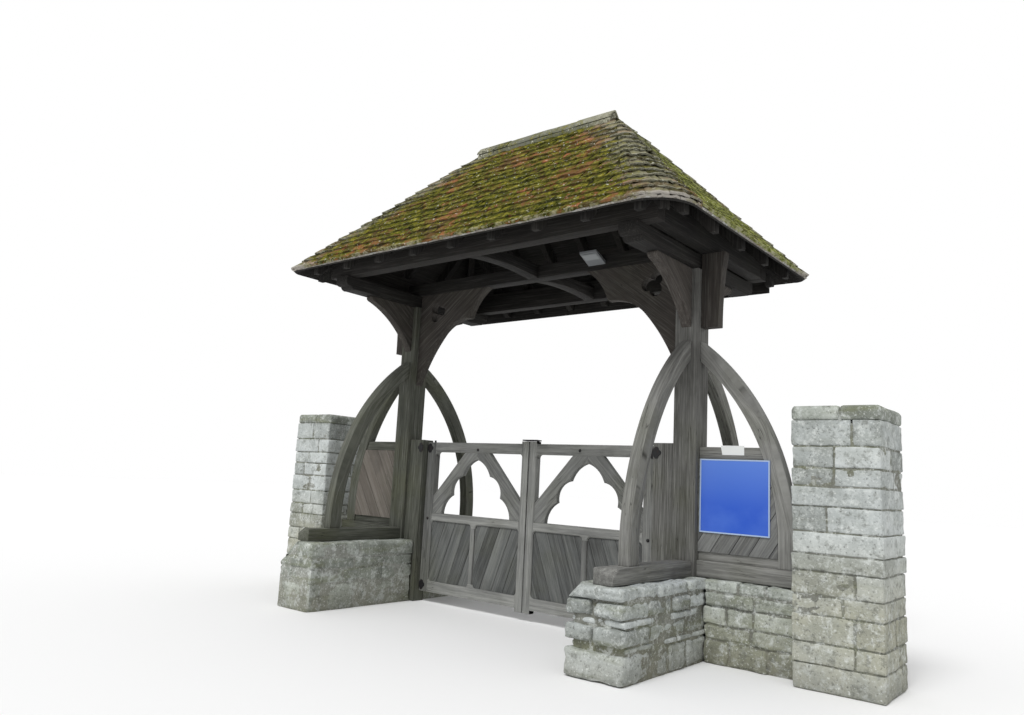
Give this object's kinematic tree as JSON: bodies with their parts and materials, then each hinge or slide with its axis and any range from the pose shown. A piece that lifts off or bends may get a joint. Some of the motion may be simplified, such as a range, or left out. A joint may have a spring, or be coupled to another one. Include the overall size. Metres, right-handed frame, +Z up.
{
  "type": "lychgate",
  "caption": "Lychgate: oak posts with curved braces on dwarf stone walls, a hipped clay-tiled roof, stone piers and a pair of hinged timber gates.",
  "frame": {"origin": "midway between the posts in the plane of the gateway, on the lowest ground that the walls reach", "axes": "+X along the boundary wall, to the right seen from the road; +Y into the churchyard; +Z up"},
  "size_m": [5.676, 2.44, 4.2519],
  "materials": {
    "limestone": "coursed rubble limestone, lichened and green with algae",
    "weathered_oak": "unpainted oak, weathered grey-brown",
    "dark_oak": "unpainted oak, dark under the roof",
    "clay_tiles": "plain clay tiles under olive moss",
    "ridge_tiles": "grey lichened ridge and hip tiles",
    "wrought_iron": "black wrought iron",
    "sign_enamel": "blue painted sheet with a pale border",
    "lamp_casing": "pale painted casing"
  },
  "bodies": {
    "root": {"back_roof_slope": "clay_tiles", "back_wall_plate": "dark_oak", "end_rafters": "dark_oak", "front_roof_slope": "clay_tiles", "front_wall_plate": "dark_oak", "gate_hooks": "wrought_iron", "hip_rafters": "dark_oak", "hip_tiles": "ridge_tiles", "lamp": "lamp_casing", "left_cross_beam": "dark_oak", "left_cross_braces": "weathered_oak", "left_cross_brackets": "dark_oak", "left_cross_sill": "weathered_oak", "left_dwarf_wall": "limestone", "left_hanging_post": "weathered_oak", "left_inner_bracket": "dark_oak", "left_outer_bracket": "dark_oak", "left_panel_boards": "weathered_oak", "left_panel_rails": "weathered_oak", "left_pier": "limestone", "left_pier_coping": "limestone", "left_post": "weathered_oak", "left_roof_slope": "clay_tiles", "left_side_brace": "weathered_oak", "left_side_sill": "weathered_oak", "left_wall_plate": "dark_oak", "left_wing_wall": "limestone", "lintel": "dark_oak", "main_rafters": "dark_oak", "middle_cross_beam": "dark_oak", "ridge_board": "dark_oak", "ridge_tiles": "ridge_tiles", "right_cross_beam": "dark_oak", "right_cross_braces": "weathered_oak", "right_cross_brackets": "dark_oak", "right_cross_sill": "weathered_oak", "right_dwarf_wall": "limestone", "right_hanging_post": "weathered_oak", "right_inner_bracket": "dark_oak", "right_outer_bracket": "dark_oak", "right_panel_boards": "weathered_oak", "right_panel_rails": "weathered_oak", "right_pier": "limestone", "right_pier_coping": "limestone", "right_post": "weathered_oak", "right_roof_slope": "clay_tiles", "right_side_brace": "weathered_oak", "right_side_sill": "weathered_oak", "right_wall_plate": "dark_oak", "right_wing_wall": "limestone", "sign_board": "sign_enamel"},
    "left_gate": {"left_gate_boards": "weathered_oak", "left_gate_bracing": "weathered_oak", "left_gate_frame": "weathered_oak", "left_gate_straps": "wrought_iron"},
    "right_gate": {"gate_latch": "wrought_iron", "right_gate_boards": "weathered_oak", "right_gate_bracing": "weathered_oak", "right_gate_frame": "weathered_oak", "right_gate_straps": "wrought_iron"}
  },
  "joints": [
    {"name": "left_gate_hinge", "type": "hinge", "parent": "root", "child": "left_gate", "pos_m": [-1.182, 0.078, 0.15], "axis": [0, 0, 1], "range_deg": [0, 90]},
    {"name": "right_gate_hinge", "type": "hinge", "parent": "root", "child": "right_gate", "pos_m": [1.182, 0.078, 0.15], "axis": [0, 0, -1], "range_deg": [0, 90]}
  ]
}
